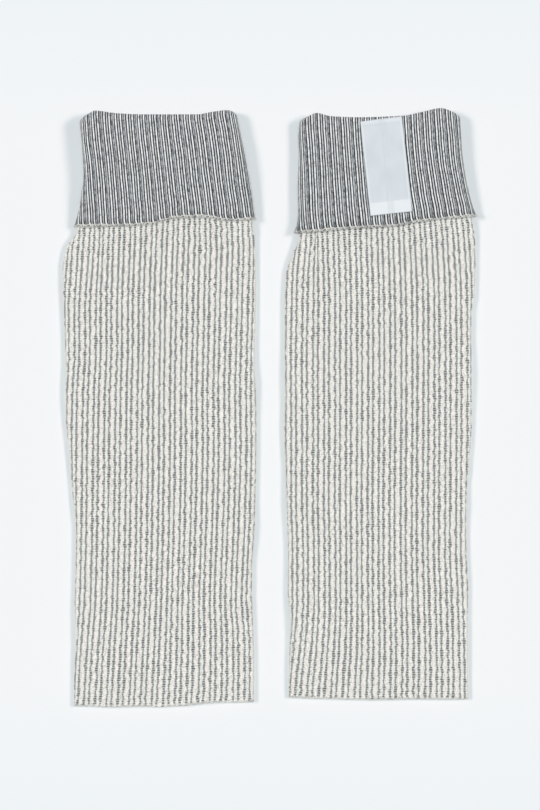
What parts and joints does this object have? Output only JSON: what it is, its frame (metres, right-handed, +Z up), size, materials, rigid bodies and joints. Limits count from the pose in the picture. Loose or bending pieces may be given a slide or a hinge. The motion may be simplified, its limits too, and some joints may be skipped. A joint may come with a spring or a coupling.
{
  "type": "pair of knitted arm warmers",
  "caption": "Rib-knit arm warmers laid flat as a pair, their upper ends turned down as cuffs, with a plain woven label on a cuff.",
  "frame": {"origin": "centre of the pair's outline, on the surface that it lies on", "axes": "+Z up, away from the surface; +Y along the tubes, from the hems to the turned cuffs; +X across the pair, towards the warmer with the label"},
  "size_m": [0.2196, 0.317, 0.0121],
  "materials": {
    "rib_knit": "cream slubby ribs with grey valleys, matt",
    "reverse_knit": "charcoal marl with thin off-white ridges, matt",
    "label_satin": "white woven satin, soft sheen, bare",
    "edge_thread": "cream overlock thread, matt"
  },
  "bodies": {
    "root": {"left_tube": "rib_knit", "left_cuff": "reverse_knit", "right_tube": "rib_knit", "right_cuff": "reverse_knit", "right_label": "label_satin"}
  },
  "joints": []
}
